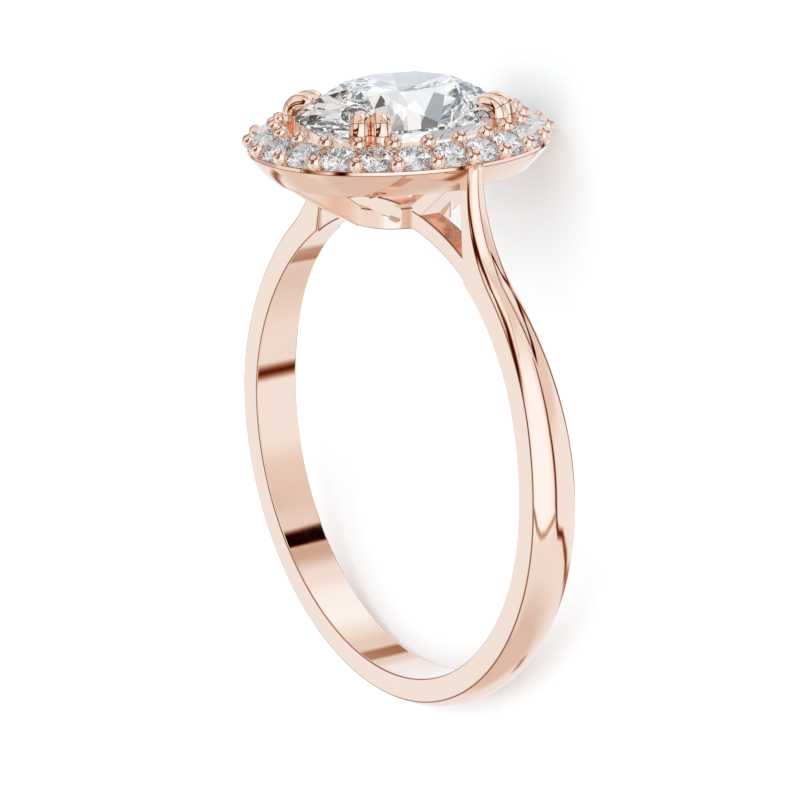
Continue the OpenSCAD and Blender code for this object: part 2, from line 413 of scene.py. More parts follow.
@dataclass
class Hoop:
    """The band and its two shoulders, one domed bar that rises to the halo.

    The shoulder's crest leaves the band's circle in a hollow curve. Its inner face goes on
    round the finger hole and then rises to the halo, leaning in.
    """

    bore: float = 8.25
    crest: float = 9.395
    half_width: float = 0.88
    taper_from: float = 1.2
    taper_ease: float = 1.6
    taper: float = 3.4
    dome: float = 0.3
    top_dome: float = 0.2
    top_half_width: float = 0.38
    curve_radius: float = 4.8
    curve_end: float = 166.0
    arm_x: float = 4.77
    inner_x: float = 4.13
    inner_z: float = 9.93
    inner_lean: float = 8.0
    lip_x: float = 4.58
    lip_z: float = 10.93
    lip_lean: float = 30.0
    lip_gap: float = 0.012
    edge_round: float = 0.065
    round_ease: float = 0.05
    # Faces narrower than this get a painted dark reflection line.
    line_width: float = 0.024
    dome_steps: int = 16
    band_steps: int = 110
    shoulder_steps: int = 46

    @property
    def leave(self) -> float:
        """Direction at which the shoulder's crest leaves the band's circle."""
        return math.acos((self.arm_x + self.curve_radius) / (self.crest + self.curve_radius))

    def width_at(self, z: float) -> float:
        """Gives the bar's half width at a height, with an eased start of its taper.

        Args:
            z: The height.

        Returns:
            The half width.
        """
        slope = math.tan(math.radians(self.taper))
        way = z - self.taper_from
        if way <= -self.taper_ease:
            return self.half_width
        if way >= self.taper_ease:
            return self.half_width - slope * way
        return self.half_width - slope * (way + self.taper_ease) ** 2 / (4 * self.taper_ease)

    def outline(self, half: float, depth: float) -> list[tuple[float, float]]:
        """Draws the bar's section.

        Args:
            half: Half of its width.
            depth: The distance from the crest to the inner face.

        Returns:
            Points of (distance below the crest, share of the half width).
        """
        slope = (self.dome - self.top_dome) / (self.half_width - self.top_half_width)
        sag = self.top_dome + slope * (half - self.top_half_width)
        radius = (half**2 + sag**2) / (2 * sag)
        dome = []
        for k in range(1, self.dome_steps):
            y = half * (1 - 2 * k / self.dome_steps)
            dome.append((radius - math.sqrt(radius**2 - y**2), y, 0.0))
        r = self.edge_round
        corners = [(depth, -half, r), (depth, half, r), (sag, half, r), *dome, (sag, -half, r)]
        return [(d, y / half) for d, y in rounded(corners, ease=self.round_ease)]

    def inner_reach(self, centre: Vector, ray: Vector) -> float:
        """Measures from the shoulder curve's centre to the inner face.

        Args:
            centre: The curve's centre.
            ray: The direction from it, of length 1.

        Returns:
            The distance along the ray.
        """
        b = centre.dot(ray)
        square = b * b - centre.dot(centre) + self.bore**2
        on_bore = -b - math.sqrt(square) if square > 0 else math.inf
        slope = math.tan(math.radians(self.inner_lean))
        gap = centre.x - self.inner_x - slope * (self.inner_z - centre.y)
        on_lean = -gap / (ray.x + slope * ray.y)
        return min(r for r in (on_bore, on_lean) if r > 0)

    def stations(self) -> Iterator[tuple[Vector, Vector, float]]:
        """Follows the bar from the foot of the band up one side to the halo.

        Yields:
            The crest's point, the inward direction and the bar's depth at each station.
        """
        for k in range(self.band_steps + 1):
            angle = -math.pi / 2 + (self.leave + math.pi / 2) * k / self.band_steps
            out = Vector((math.cos(angle), math.sin(angle)))
            yield out * self.crest, -out, self.crest - self.bore
        centre = Vector((math.cos(self.leave), math.sin(self.leave))) * (self.crest + self.curve_radius)
        turn = math.radians(self.curve_end) - math.pi - self.leave
        for k in range(1, self.shoulder_steps + 1):
            angle = math.pi + self.leave + turn * k / self.shoulder_steps
            ray = Vector((math.cos(angle), math.sin(angle)))
            reach = self.inner_reach(centre, ray)
            yield centre + ray * self.curve_radius, ray, reach - self.curve_radius

    def build(self) -> Object:
        """Draws the bar out from the foot to both sides and trims it under the lip's face.

        Returns:
            The band with its shoulders.
        """
        half: list[Section] = []
        for crest, inward, depth in self.stations():
            points = []
            for d, share in self.outline(self.width_at(crest.y), depth):
                place = crest + inward * d
                points.append(Vector((place.x, share * self.width_at(place.y), place.y)))
            half.append(points)
        mirrored = [[Vector((-p.x, p.y, p.z)) for p in points] for points in half[:0:-1]]
        obj = draw_out("band", mirrored + half)
        # Painted dark reflection lines on the narrow faces of the rounded edges.
        paint_dark_lines(obj, self.line_width)
        lean = math.radians(self.lip_lean)
        for side in (1, -1):
            with editing(obj):
                bpy.ops.mesh.bisect(
                    plane_co=(side * self.lip_x, 0, self.lip_z - self.lip_gap),
                    plane_no=(side * math.sin(lean), 0, math.cos(lean)),
                    use_fill=True,
                    clear_outer=True,
                )
        smooth(obj)
        return obj


@dataclass
class Bridge:
    """The arch that goes on with the finger hole's circle under the head."""

    bore: float = 8.25
    thickness: float = 0.65
    half_width: float = 0.42
    half_span: float = 36.0
    edge_round: float = 0.05
    outward: float = 0.9
    steps: int = 60

    def build(self) -> Object:
        """Draws the arch's section along its circle.

        Returns:
            The bridge.
        """
        top, w, r = self.bore + self.thickness, self.half_width, self.edge_round
        section = rounded([(self.bore, -w, r), (top, -w, r), (top, w, r), (self.bore, w, r)])
        sections = []
        for k in range(self.steps + 1):
            angle = math.radians(90 - self.half_span + 2 * self.half_span * k / self.steps)
            sections.append([Vector((d * math.cos(angle), y, d * math.sin(angle))) for d, y in section])
        obj = draw_out("bridge", sections)
        # Painted dark reflection lines on the narrow faces, and a painted reflection of gold in gold on
        # the faces that look up into the head.
        paint_dark_lines(obj)
        mark_faces(obj, Mark.HOLLOW, self.is_outer)
        smooth(obj)
        return obj

    def is_outer(self, face: Face) -> bool:
        """Tells whether a face looks away from the finger, up into the head."""
        away = Vector((face.center.x, 0, face.center.z)).normalized()
        return face.normal.dot(away) > self.outward


@dataclass
class BaseRing:
    """The small oval ring on the bridge, open under the stone's point."""

    oval: Oval = Oval(1.95, 1.4, 1.26)
    bore: float = 8.25
    top: float = 8.9
    wall: float = 0.6
    edge_round: float = 0.06
    window_from: float = 0.82
    window_to: float = 2.4
    window_low: float = 8.25
    window_high: float = 1.0
    window_half: float = 2.0
    window_slope: float = 0.745
    window_round: float = 0.16
    steps: int = 96

    def window(self) -> Object:
        """Makes the wedge that opens one end of the ring above the struts.

        Returns:
            The wedge.
        """
        near, far = self.window_from, self.window_to
        rise = self.window_low + self.window_slope * (far - near)
        top = rise + self.window_high
        outline = rounded(
            [(near, self.window_low, self.window_round), (far, rise, 0), (far, top, 0), (near, top, 0)]
        )
        ends = (-self.window_half, self.window_half)
        return draw_out("window", [[Vector((x, y, z)) for y, z in outline] for x in ends])

    def build(self) -> Object:
        """Draws the ring's section round its oval, with its underside on the finger hole.

        Returns:
            The base ring.
        """
        r = self.edge_round
        section = rounded([(0, 0, r), (self.wall, 0, r), (self.wall, 1, r), (0, 1, r)])
        sections = []
        for k in range(self.steps + 1):
            points = []
            for inset, height in section:
                p = self.oval.point(2 * math.pi * k / self.steps, inset)
                low = math.sqrt(self.bore**2 - p.x**2)
                points.append(Vector((p.x, p.y, low + (self.top - low) * height)))
            sections.append(points)
        sections[-1] = sections[0]
        obj = draw_out("base_ring", sections)
        # Painted dark reflection lines on the narrow faces of the rounded edges.
        paint_dark_lines(obj)
        for turn in (0, 180):
            cutter = self.window()
            cutter.data.transform(Matrix.Rotation(math.radians(turn), 4, "Z"))
            with editing(cutter):
                bpy.ops.mesh.normals_make_consistent(inside=False)
            carve(obj, cutter)
        smooth(obj)
        return obj


@dataclass
class Gallery:
    """The four struts from the base ring out to the halo's underside.

    sharp_from is the angle in radians past which an edge is bevelled.
    """

    long_outline: list[tuple[float, float]] = field(
        default_factory=lambda: [
            (1.2, 8.27), (2.0, 8.27), (4.705, 9.93), (4.705, 10.15), (3.5, 10.15), (1.2, 8.5)
        ]
    )
    short_outline: list[tuple[float, float]] = field(
        default_factory=lambda: [
            (0.95, 8.4), (1.45, 8.4), (3.5, 9.93), (3.5, 10.15), (3.0, 10.15), (0.95, 8.8)
        ]
    )
    half_width: float = 0.4
    edge_round: float = 0.07
    sharp_from: float = 0.4
    upward: float = 0.3

    def strut(self, name: str, outline: list[tuple[float, float]]) -> Object:
        """Extrudes one strut's side outline to its width and bevels its edges.

        Args:
            name: The strut's name.
            outline: Its corners as (distance out, height).

        Returns:
            The strut, pointing out along +X.
        """
        sides = (-self.half_width, self.half_width)
        obj = draw_out(name, [[Vector((u, y, z)) for u, z in outline] for y in sides])
        apply_modifier(
            obj, "BEVEL", width=self.edge_round, segments=3,
            limit_method="ANGLE", angle_limit=self.sharp_from,
        )
        return obj

    def build(self) -> Object:
        """Makes the two kinds of strut and puts them round the base ring.

        Returns:
            The four struts as one object.
        """
        struts = []
        for quarter in range(4):
            outline = self.long_outline if quarter % 2 else self.short_outline
            strut = self.strut(f"strut_{quarter}", outline)
            strut.data.transform(Matrix.Rotation(math.radians(90 * quarter), 4, "Z"))
            struts.append(strut)
        obj = join(struts, "gallery")
        # Painted dark reflection lines on the narrow faces, and a painted reflection of gold in gold on
        # the faces that look up into the head.
        paint_dark_lines(obj)
        mark_faces(obj, Mark.HOLLOW, lambda face: face.normal.z > self.upward)
        smooth(obj)
        return obj


@dataclass
class HaloTray:
    """The halo's oval rim, the wall that draws in below it, and its tilted face with seats."""

    oval: Oval = Oval(5.47, 4.58, 4.1)
    rim_z: float = 10.82
    rim_round: float = 0.035
    lip_h: float = 0.11
    lip_from: float = 0.03
    wall_h: float = 0.89
    wall_in: float = 0.765
    foot_round: float = 0.04
    width: float = 1.3
    inner_round: float = 0.05
    lean: float = 30.0
    sink: float = 0.25
    bulge: float = 0.035
    bulge_steps: int = 8
    stones: int = 22
    stone_inset: float = 0.52
    seat_radius: float = 0.575
    seat_depth: float = 0.495
    seat_above: float = 0.1
    seat_sides: int = 32
    steps: int = 220

    def face_z(self, inset: float) -> float:
        """Height of the tray's face at a distance in from the rim."""
        return self.rim_z + self.lip_h + inset * math.tan(math.radians(self.lean))

    def on_face(self, step: float, inset: float) -> Matrix:
        """Places a thing on the tray's face, with its Z along the stones' outward lean.

        Args:
            step: The number of stone pitches from the +X side.
            inset: The distance in from the rim.

        Returns:
            The place as a matrix.
        """
        direction = self.oval.direction_at(step / self.stones, self.stone_inset)
        p = self.oval.point(direction, inset)
        p.z = self.face_z(inset)
        turn = Matrix.Rotation(direction, 4, "Z") @ Matrix.Rotation(math.radians(self.lean), 4, "Y")
        return Matrix.Translation(p) @ turn

    def outline(self) -> list[tuple[float, float]]:
        """Draws the tray's section, with its slightly bulged wall.

        Returns:
            Points of (distance in from the rim, height).
        """
        low = self.rim_z - self.wall_h
        corners = [(0.0, self.rim_z, self.rim_round)]
        run = Vector((self.wall_in, low - self.rim_z))
        normal = Vector((run.y, -run.x)).normalized()
        for k in range(1, self.bulge_steps):
            t = k / self.bulge_steps
            p = Vector((0, self.rim_z)) + run * t + normal * self.bulge * 4 * t * (1 - t)
            corners.append((p.x, p.y, 0.0))
        corners += [
            (self.wall_in, low, self.foot_round),
            (self.width, low + self.sink, self.inner_round),
            (self.width, self.face_z(self.width), self.inner_round),
            (self.lip_from, self.face_z(self.lip_from), self.rim_round),
        ]
        return rounded(corners, steps=3)

    def seat(self) -> Object:
        """Makes the cone that cuts one stone's seat, with its axis on Z.

        Returns:
            The cone.
        """
        bpy.ops.object.select_all(action="DESELECT")
        bpy.ops.mesh.primitive_cone_add(
            vertices=self.seat_sides,
            radius1=0,
            radius2=self.seat_radius * (1 + self.seat_above / self.seat_depth),
            depth=self.seat_depth + self.seat_above,
            location=(0, 0, (self.seat_above - self.seat_depth) / 2),
        )
        cutter = bpy.context.object
        cutter.data.transform(cutter.matrix_basis)
        cutter.matrix_basis = Matrix.Identity(4)
        return cutter

    def build(self) -> Object:
        """Draws the tray round its oval and cuts the stones' seats.

        Returns:
            The halo tray.
        """
        section = self.outline()
        sections = []
        for k in range(self.steps + 1):
            direction = self.oval.direction_at((k % self.steps) / self.steps, self.stone_inset)
            points = []
            for inset, z in section:
                p = self.oval.point(direction, inset)
                points.append(Vector((p.x, p.y, z)))
            sections.append(points)
        obj = draw_out("halo_tray", sections)
        # Painted dark reflection lines on the narrow faces of the rounded edges.
        paint_dark_lines(obj)
        seat = self.seat()
        cutters = []
        for i in range(self.stones):
            cutter = copy_of(seat, f"seat_{i}")
            cutter.data.transform(self.on_face(i + 0.5, self.stone_inset))
            cutters.append(cutter)
        bpy.data.objects.remove(seat)
        carve(obj, join(cutters, "seats"))
        smooth(obj, angle=30)
        return obj


@dataclass
class Beads:
    """The two rows of beads that hold the halo stones, each a ball on a short neck.

    Above the unlined share of its radius a ball stays plain.
    """

    radius: float = 0.275
    up: float = 0.16
    outer_inset: float = 0.19
    inner_inset: float = 1.05
    foot_z: float = -0.3
    foot_flare: float = 0.05
    neck: float = 0.19
    neck_z: float = -0.12
    ball_from: float = -48.0
    # Where a narrow step takes a painted dark reflection line round the ball.
    line_turn: float = 59.5
    unlined: float = 0.9
    merge: float = 0.001
    rings: int = 12
    sides: int = 20

    def on_ball(self, turn: float) -> tuple[float, float]:
        """Gives the ball's (radius, height) at an angle up from its middle, in degrees."""
        angle = math.radians(turn)
        return self.radius * math.cos(angle), self.up + self.radius * math.sin(angle)

    def outline(self) -> list[tuple[float, float]]:
        """Draws the bead's side, with a narrow step that takes a painted dark reflection line.

        Returns:
            Points of (radius, height) from the foot to the top.
        """
        turns = [self.ball_from + (90 - self.ball_from) * k / self.rings for k in range(self.rings)]
        foot = [(self.neck + self.foot_flare, self.foot_z), (self.neck, self.neck_z)]
        ball = [self.on_ball(turn) for turn in sorted([*turns, self.line_turn])]
        return [*foot, *ball, (0.0, self.up + self.radius)]

    def bead(self) -> Object:
        """Spins one bead's side round its axis.

        Returns:
            The bead.
        """
        outline = self.outline()
        bpy.ops.object.select_all(action="DESELECT")
        bpy.ops.mesh.primitive_circle_add(vertices=len(outline))
        obj = bpy.context.object
        with editing(obj):
            mesh = bmesh.from_edit_mesh(obj.data)
            mesh.verts.ensure_lookup_table()
            for vertex, (r, z) in zip(mesh.verts, outline):
                vertex.co = (r, 0, z)
            closing = mesh.edges.get((mesh.verts[len(outline) - 1], mesh.verts[0]))
            mesh.edges.remove(closing)
            bmesh.update_edit_mesh(obj.data)
            bpy.ops.mesh.select_all(action="SELECT")
            bpy.ops.mesh.spin(steps=self.sides, angle=2 * math.pi, center=(0, 0, 0), axis=(0, 0, 1))
            close_shell(self.merge)
        cap = self.up + self.unlined * self.radius
        # Painted dark reflection lines on the narrow faces below the plain cap.
        mark_faces(obj, Mark.EDGE, lambda face: is_narrow(obj, face) and face.center.z < cap)
        return obj

    def build(self, tray: HaloTray) -> Object:
        """Copies the bead to both rows of places on the tray's face.

        Args:
            tray: The halo tray.

        Returns:
            The beads as one object.
        """
        first = self.bead()
        beads = []
        for i in range(tray.stones):
            for inset in (self.outer_inset, self.inner_inset):
                bead = copy_of(first, "bead")
                bead.data.transform(tray.on_face(i, inset))
                beads.append(bead)
        bpy.data.objects.remove(first)
        obj = join(beads, "beads")
        smooth(obj, angle=60)
        return obj


@dataclass
class Claws:
    """Eight claws in four pairs: a bullet-like post that bends in over the stone's edge.

    Two painted dark reflection lines run up each claw's back, and another goes round it under the
    bend and again a third of the way over it. Past the lined share of the reach it has none.
    """

    radius: float = 0.372
    pitch: float = 0.735
    pair_direction: float = 34.0
    inset: float = 1.45
    foot_z: float = 10.1
    flare: float = 1.07
    bend_z: float = 11.93
    bend_turn: float = 104.0
    bend_thinning: float = 0.08
    top_z: float = 12.67
    top_share: float = 0.97
    reach: float = 0.83
    reach_gap: float = 0.02
    tip_power: float = 0.6
    tip_radius: float = 0.012
    line_step: float = 0.03
    line_turn: float = 2.5
    # Angles of the two painted dark reflection lines up the claw's back.
    painted_line_angles: tuple[float, float] = (148.0, 212.0)
    painted_line_span: float = 4.8
    painted_line_clear: float = 8.0
    lined: float = 0.6
    sides: int = 28
    post_steps: int = 8
    bend_steps: int = 12
    tip_steps: int = 8

    def path(self) -> list[tuple[float, float, float, float]]:
        """Draws the claw's spine: a tapered post, a bend and a round tip.

        Returns:
            Stations of (way inward, height, direction of travel in radians, radius).
        """
        up = math.pi / 2
        spine = []
        for k in range(self.post_steps + 1):
            z = self.foot_z + (self.bend_z - self.foot_z) * k / self.post_steps
            radius = self.radius * (self.flare - (self.flare - 1) * k / self.post_steps)
            spine.append((0.0, z, up, radius))
        spine.insert(-1, (0.0, self.bend_z - self.line_step, up, self.radius))
        bend = self.top_z - self.radius * self.top_share - self.bend_z
        turns = [self.bend_turn * k / self.bend_steps for k in range(1, self.bend_steps + 1)]
        for turn in sorted([*turns, self.bend_turn / 3 + self.line_turn]):
            angle = math.radians(turn)
            x = bend * (1 - math.cos(angle))
            z = self.bend_z + bend * math.sin(angle)
            radius = self.radius * (1 - self.bend_thinning * (turn / self.bend_turn))
            spine.append((x, z, up - angle, radius))
        x, z, heading, radius = spine[-1]
        length = self.reach - x - self.reach_gap
        for k in range(1, self.tip_steps + 1):
            angle = math.pi / 2 * k / self.tip_steps
            inward = x + math.cos(heading) * length * math.sin(angle)
            height = z + math.sin(heading) * length * math.sin(angle)
            end_radius = max(radius * math.cos(angle) ** self.tip_power, self.tip_radius)
            spine.append((inward, height, heading, end_radius))
        return spine

    def angles(self) -> list[float]:
        """Divides the claw's section, with a narrow step at each painted dark reflection line.

        Returns:
            The angles of its points in degrees, from the side that it bends to.
        """
        even = [360 * k / self.sides for k in range(self.sides)]
        angles = [a for a in even if min(abs(a - painted_line_angle) for painted_line_angle in self.painted_line_angles) > self.painted_line_clear]
        for painted_line_angle in self.painted_line_angles:
            angles += [painted_line_angle - self.painted_line_span / 2, painted_line_angle + self.painted_line_span / 2]
        return sorted(angles)

    def claw(self) -> Object:
        """Draws one claw out along its spine, leaning in towards +X.

        Returns:
            The claw.
        """
        angles = [math.radians(a) for a in self.angles()]
        sections = []
        for x, z, heading, radius in self.path():
            side = Vector((math.sin(heading), 0, -math.cos(heading)))
            points = []
            for a in angles:
                across = Vector((0, radius * math.sin(a), 0))
                points.append(Vector((x, 0, z)) + side * radius * math.cos(a) + across)
            sections.append(points)
        obj = draw_out("claw", sections)
        end = self.lined * self.reach
        # Painted dark reflection lines on the narrow faces, short of the tip.
        mark_faces(obj, Mark.EDGE, lambda face: is_narrow(obj, face) and face.center.x < end)
        return obj

    def build(self, tray: HaloTray, stone: Object) -> Object:
        """Copies the claw to its eight places and cuts the stone's seat into them.

        Args:
            tray: The halo tray that the claws stand on.
            stone: A copy of the centre stone, grown by the clearance, in the ring's frame.

        Returns:
            The claws as one object.
        """
        first = self.claw()
        half_step = self.pitch / 2 / (tray.oval.side_radius - self.inset)
        pair = self.pair_direction
        claws = []
        for quarter in (pair, 180 - pair, 180 + pair, -pair):
            for side in (-1, 1):
                direction = math.radians(quarter) + side * half_step
                place = Matrix.Translation(tray.oval.point(direction, self.inset))
                claw = copy_of(first, "claw")
                claw.data.transform(place @ Matrix.Rotation(direction + math.pi, 4, "Z"))
                claws.append(claw)
        bpy.data.objects.remove(first)
        for claw in claws:
            carve(claw, copy_of(stone, "cutter"))
        bpy.data.objects.remove(stone)
        obj = join(claws, "claws")
        smooth(obj, angle=40)
        return obj


# Finishes


def add_node(tree: Tree, kind: str, **settings: object) -> bpy.types.Node:
    """Adds a node and sets its properties, its input values and its links.

    Args:
        tree: The node tree.
        kind: The node's type.
        settings: A property by its name, or an input by its name or "i" and its number. An
            input set to another node's socket is linked to it.

    Returns:
        The new node.
    """
    node = tree.nodes.new(kind)
    for key, value in settings.items():
        if hasattr(node, key):
            setattr(node, key, value)
            continue
        number = key[1:] if key[0] == "i" and key[1:].isdigit() else None
        socket = node.inputs[int(number)] if number else node.inputs[key.replace("_", " ")]
        if isinstance(value, Socket):
            tree.links.new(value, socket)
        else:
            socket.default_value = value
    return node


@dataclass(frozen=True)
class PolishedRoseGold:
    """Rose gold, cast, then polished to a mirror with a soft wheel and rouge.

    The wheel leaves shallow waves about as long as the band is wide, and a haze of hairlines,
    so reflections are crisp but not perfect. A hairline is a few thousandths of a millimetre
    wide, too fine to show, so the haze is drawn as patches of 0.9 mm. The narrow edges, the lines
    on the claws and the lines round the beads get a painted dark reflection line. Under the head, a
    painted reflection of gold in gold deepens the colour of the faces that look up into the head.
    """

    name: str = "polished rose gold"
    colour: str = "FADFCE"
    roughness: float = 0.02
    haze: float = 0.03
    haze_mm: float = 0.9
    haze_span: tuple[float, float] = (0.35, 0.7)
    wave_mm: float = 1.6
    wave_height_mm: float = 0.00035
    # The colours of the painted dark reflection line and of the painted reflection of gold in gold.
    painted_dark_line_colour: str = "AC7458"
    painted_gold_reflection_colour: str = "FCB491"

    def make(self) -> Material:
        """Builds the material.

        Returns:
            The material.
        """
        material = bpy.data.materials.new(self.name)
        material.use_nodes = True
        tree = material.node_tree
        shader = tree.nodes["Principled BSDF"]
        shader.inputs["Metallic"].default_value = 1.0
        colour = (*linear(self.colour), 1.0)
        # Paints the gold reflection colour and the dark reflection line over the base colour on the
        # marked faces.
        for mark, code in ((Mark.HOLLOW, self.painted_gold_reflection_colour), (Mark.EDGE, self.painted_dark_line_colour)):
            marked = add_node(tree, "ShaderNodeAttribute", attribute_name=mark.value)
            colour = add_node(
                tree, "ShaderNodeMix", data_type="RGBA", Factor=marked.outputs["Fac"],
                i6=colour, i7=(*linear(code), 1.0),
            ).outputs[2]
        tree.links.new(colour, shader.inputs["Base Color"])
        place = add_node(tree, "ShaderNodeTexCoord").outputs["Object"]
        haze = add_node(
            tree, "ShaderNodeTexNoise", Vector=place, Scale=1 / (self.haze_mm * MM), Detail=3.0
        )
        rough = add_node(
            tree, "ShaderNodeMapRange", Value=haze.outputs["Fac"],
            i1=self.haze_span[0], i2=self.haze_span[1],
            i3=self.roughness, i4=self.roughness + self.haze,
        )
        tree.links.new(rough.outputs["Result"], shader.inputs["Roughness"])
        wave = add_node(
            tree, "ShaderNodeTexNoise", Vector=place, Scale=1 / (self.wave_mm * MM), Detail=1.0
        )
        bump = add_node(
            tree, "ShaderNodeBump", Height=wave.outputs["Fac"], Strength=1.0,
            Distance=self.wave_height_mm * MM,
        )
        tree.links.new(bump.outputs["Normal"], shader.inputs["Normal"])
        return material


@dataclass(frozen=True)
class CutDiamond:
    """Diamond, cut and lapped: clear, hard-edged and strongly refracting.

    The lap's marks are far too fine to show. They are drawn as patches of 0.4 mm that blur a
    facet by a hair.
    """

    name: str = "cut diamond"
    tint: str = "FFFFFF"
    ior: float = 2.417
    polish: float = 0.002
    polish_mm: float = 0.4
    polish_span: tuple[float, float] = (0.3, 0.7)

    def make(self) -> Material:
        """Builds the material.

        Returns:
            The material.
        """
        material = bpy.data.materials.new(self.name)
        material.use_nodes = True
        tree = material.node_tree
        shader = tree.nodes["Principled BSDF"]
        shader.inputs["Base Color"].default_value = (*linear(self.tint), 1)
        shader.inputs["Transmission Weight"].default_value = 1.0
        shader.inputs["IOR"].default_value = self.ior
        place = add_node(tree, "ShaderNodeTexCoord").outputs["Object"]
        lap = add_node(tree, "ShaderNodeTexNoise", Vector=place, Scale=1 / (self.polish_mm * MM))
        rough = add_node(
            tree, "ShaderNodeMapRange", Value=lap.outputs["Fac"],
            i1=self.polish_span[0], i2=self.polish_span[1], i3=0.0, i4=self.polish,
        )
        tree.links.new(rough.outputs["Result"], shader.inputs["Roughness"])
        return material


@dataclass(frozen=True)
class PaperFloor:
    """Matt white photo paper: a plain pale ground without gloss."""

    name: str = "white photo paper"
    colour: str = "F7F7F7"
    roughness: float = 0.9
    half_size: float = 1.5

    def build(self) -> Object:
        """Lays the sheet under the ring. The metal mirrors the light tent and not the sheet.

        Returns:
            The sheet.
        """
        bpy.ops.object.select_all(action="DESELECT")
        bpy.ops.mesh.primitive_plane_add(size=2 * self.half_size)
        sheet = bpy.context.object
        sheet.name = "floor"
        material = bpy.data.materials.new(self.name)
        material.use_nodes = True
        shader = material.node_tree.nodes["Principled BSDF"]
        shader.inputs["Base Color"].default_value = (*linear(self.colour), 1)
        shader.inputs["Roughness"].default_value = self.roughness
        shader.inputs["Specular IOR Level"].default_value = 0.0
        sheet.data.materials.append(material)
        sheet.visible_glossy = False
        sheet.visible_transmission = False
        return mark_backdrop(sheet)


# Light and camera


@dataclass(frozen=True)
class Cloth:
    """A cloth of the tent, as a soft-edged patch of bearings in degrees round and up.

    The colour is the one that the polished gold shows of it.
    """

    around: tuple[float, float]
    up: tuple[float, float]
    colour: str
    soft: float = 8.0

    def mask(self, tree: Tree, bearing: Socket) -> Socket:
        """Builds the patch's strength.

        Args:
            tree: The world's node tree.
            bearing: The ray's bearing in degrees round and up.

        Returns:
            1 on the cloth and 0 off it.
        """
        parts = add_node(tree, "ShaderNodeSeparateXYZ", i0=bearing)
        ramps = []
        for value, ends in zip(parts.outputs, (self.around, self.up)):
            for edge, (outside, inside) in zip(ends, ((0.0, 1.0), (1.0, 0.0))):
                ramp = add_node(
                    tree, "ShaderNodeMapRange", interpolation_type="SMOOTHSTEP", Value=value,
                    i1=edge - self.soft / 2, i2=edge + self.soft / 2, i3=outside, i4=inside,
                )
                ramps.append(ramp.outputs["Result"])
        mask = ramps[0]
        for ramp in ramps[1:]:
            mask = add_node(
                tree, "ShaderNodeMath", operation="MULTIPLY", i0=mask, i1=ramp
            ).outputs[0]
        return mask


@dataclass(frozen=True)
class Fold:
    """A dark fold or opening between cloths, drawn from one bearing to another.

    width is the half width in degrees at its two ends, soft the share of it that fades, and
    depth the share of the light that the fold takes at its middle.
    """

    start: tuple[float, float]
    end: tuple[float, float]
    width: tuple[float, float]
    depth: float
    soft: float = 1.0

    def light_left(self, tree: Tree, bearing: Socket) -> Socket:
        """Builds the share of the light that the fold leaves.

        Args:
            tree: The world's node tree.
            bearing: The ray's bearing in degrees round and up.

        Returns:
            The share, 1 beside the fold.
        """
        start = Vector((*self.start, 0))
        run = Vector((*self.end, 0)) - start
        away = add_node(
            tree, "ShaderNodeVectorMath", operation="SUBTRACT", i0=bearing, i1=start
        ).outputs[0]
        along = add_node(
            tree, "ShaderNodeVectorMath", operation="DOT_PRODUCT", i0=away, i1=run / run.length_squared
        )
        share = add_node(tree, "ShaderNodeMapRange", Value=along.outputs["Value"]).outputs[0]
        nearest = add_node(tree, "ShaderNodeVectorMath", operation="SCALE", i0=run, Scale=share)
        off = add_node(
            tree, "ShaderNodeVectorMath", operation="SUBTRACT", i0=away, i1=nearest.outputs[0]
        )
        distance = add_node(tree, "ShaderNodeVectorMath", operation="LENGTH", i0=off.outputs[0])
        width = add_node(
            tree, "ShaderNodeMapRange", Value=share, i3=self.width[0], i4=self.width[1]
        )
        ratio = add_node(
            tree, "ShaderNodeMath", operation="DIVIDE",
            i0=distance.outputs["Value"], i1=width.outputs[0],
        )
        return add_node(
            tree, "ShaderNodeMapRange", interpolation_type="SMOOTHSTEP", Value=ratio.outputs[0],
            i1=1 - self.soft, i2=1.0, i3=1 - self.depth, i4=1.0,
        ).outputs["Result"]


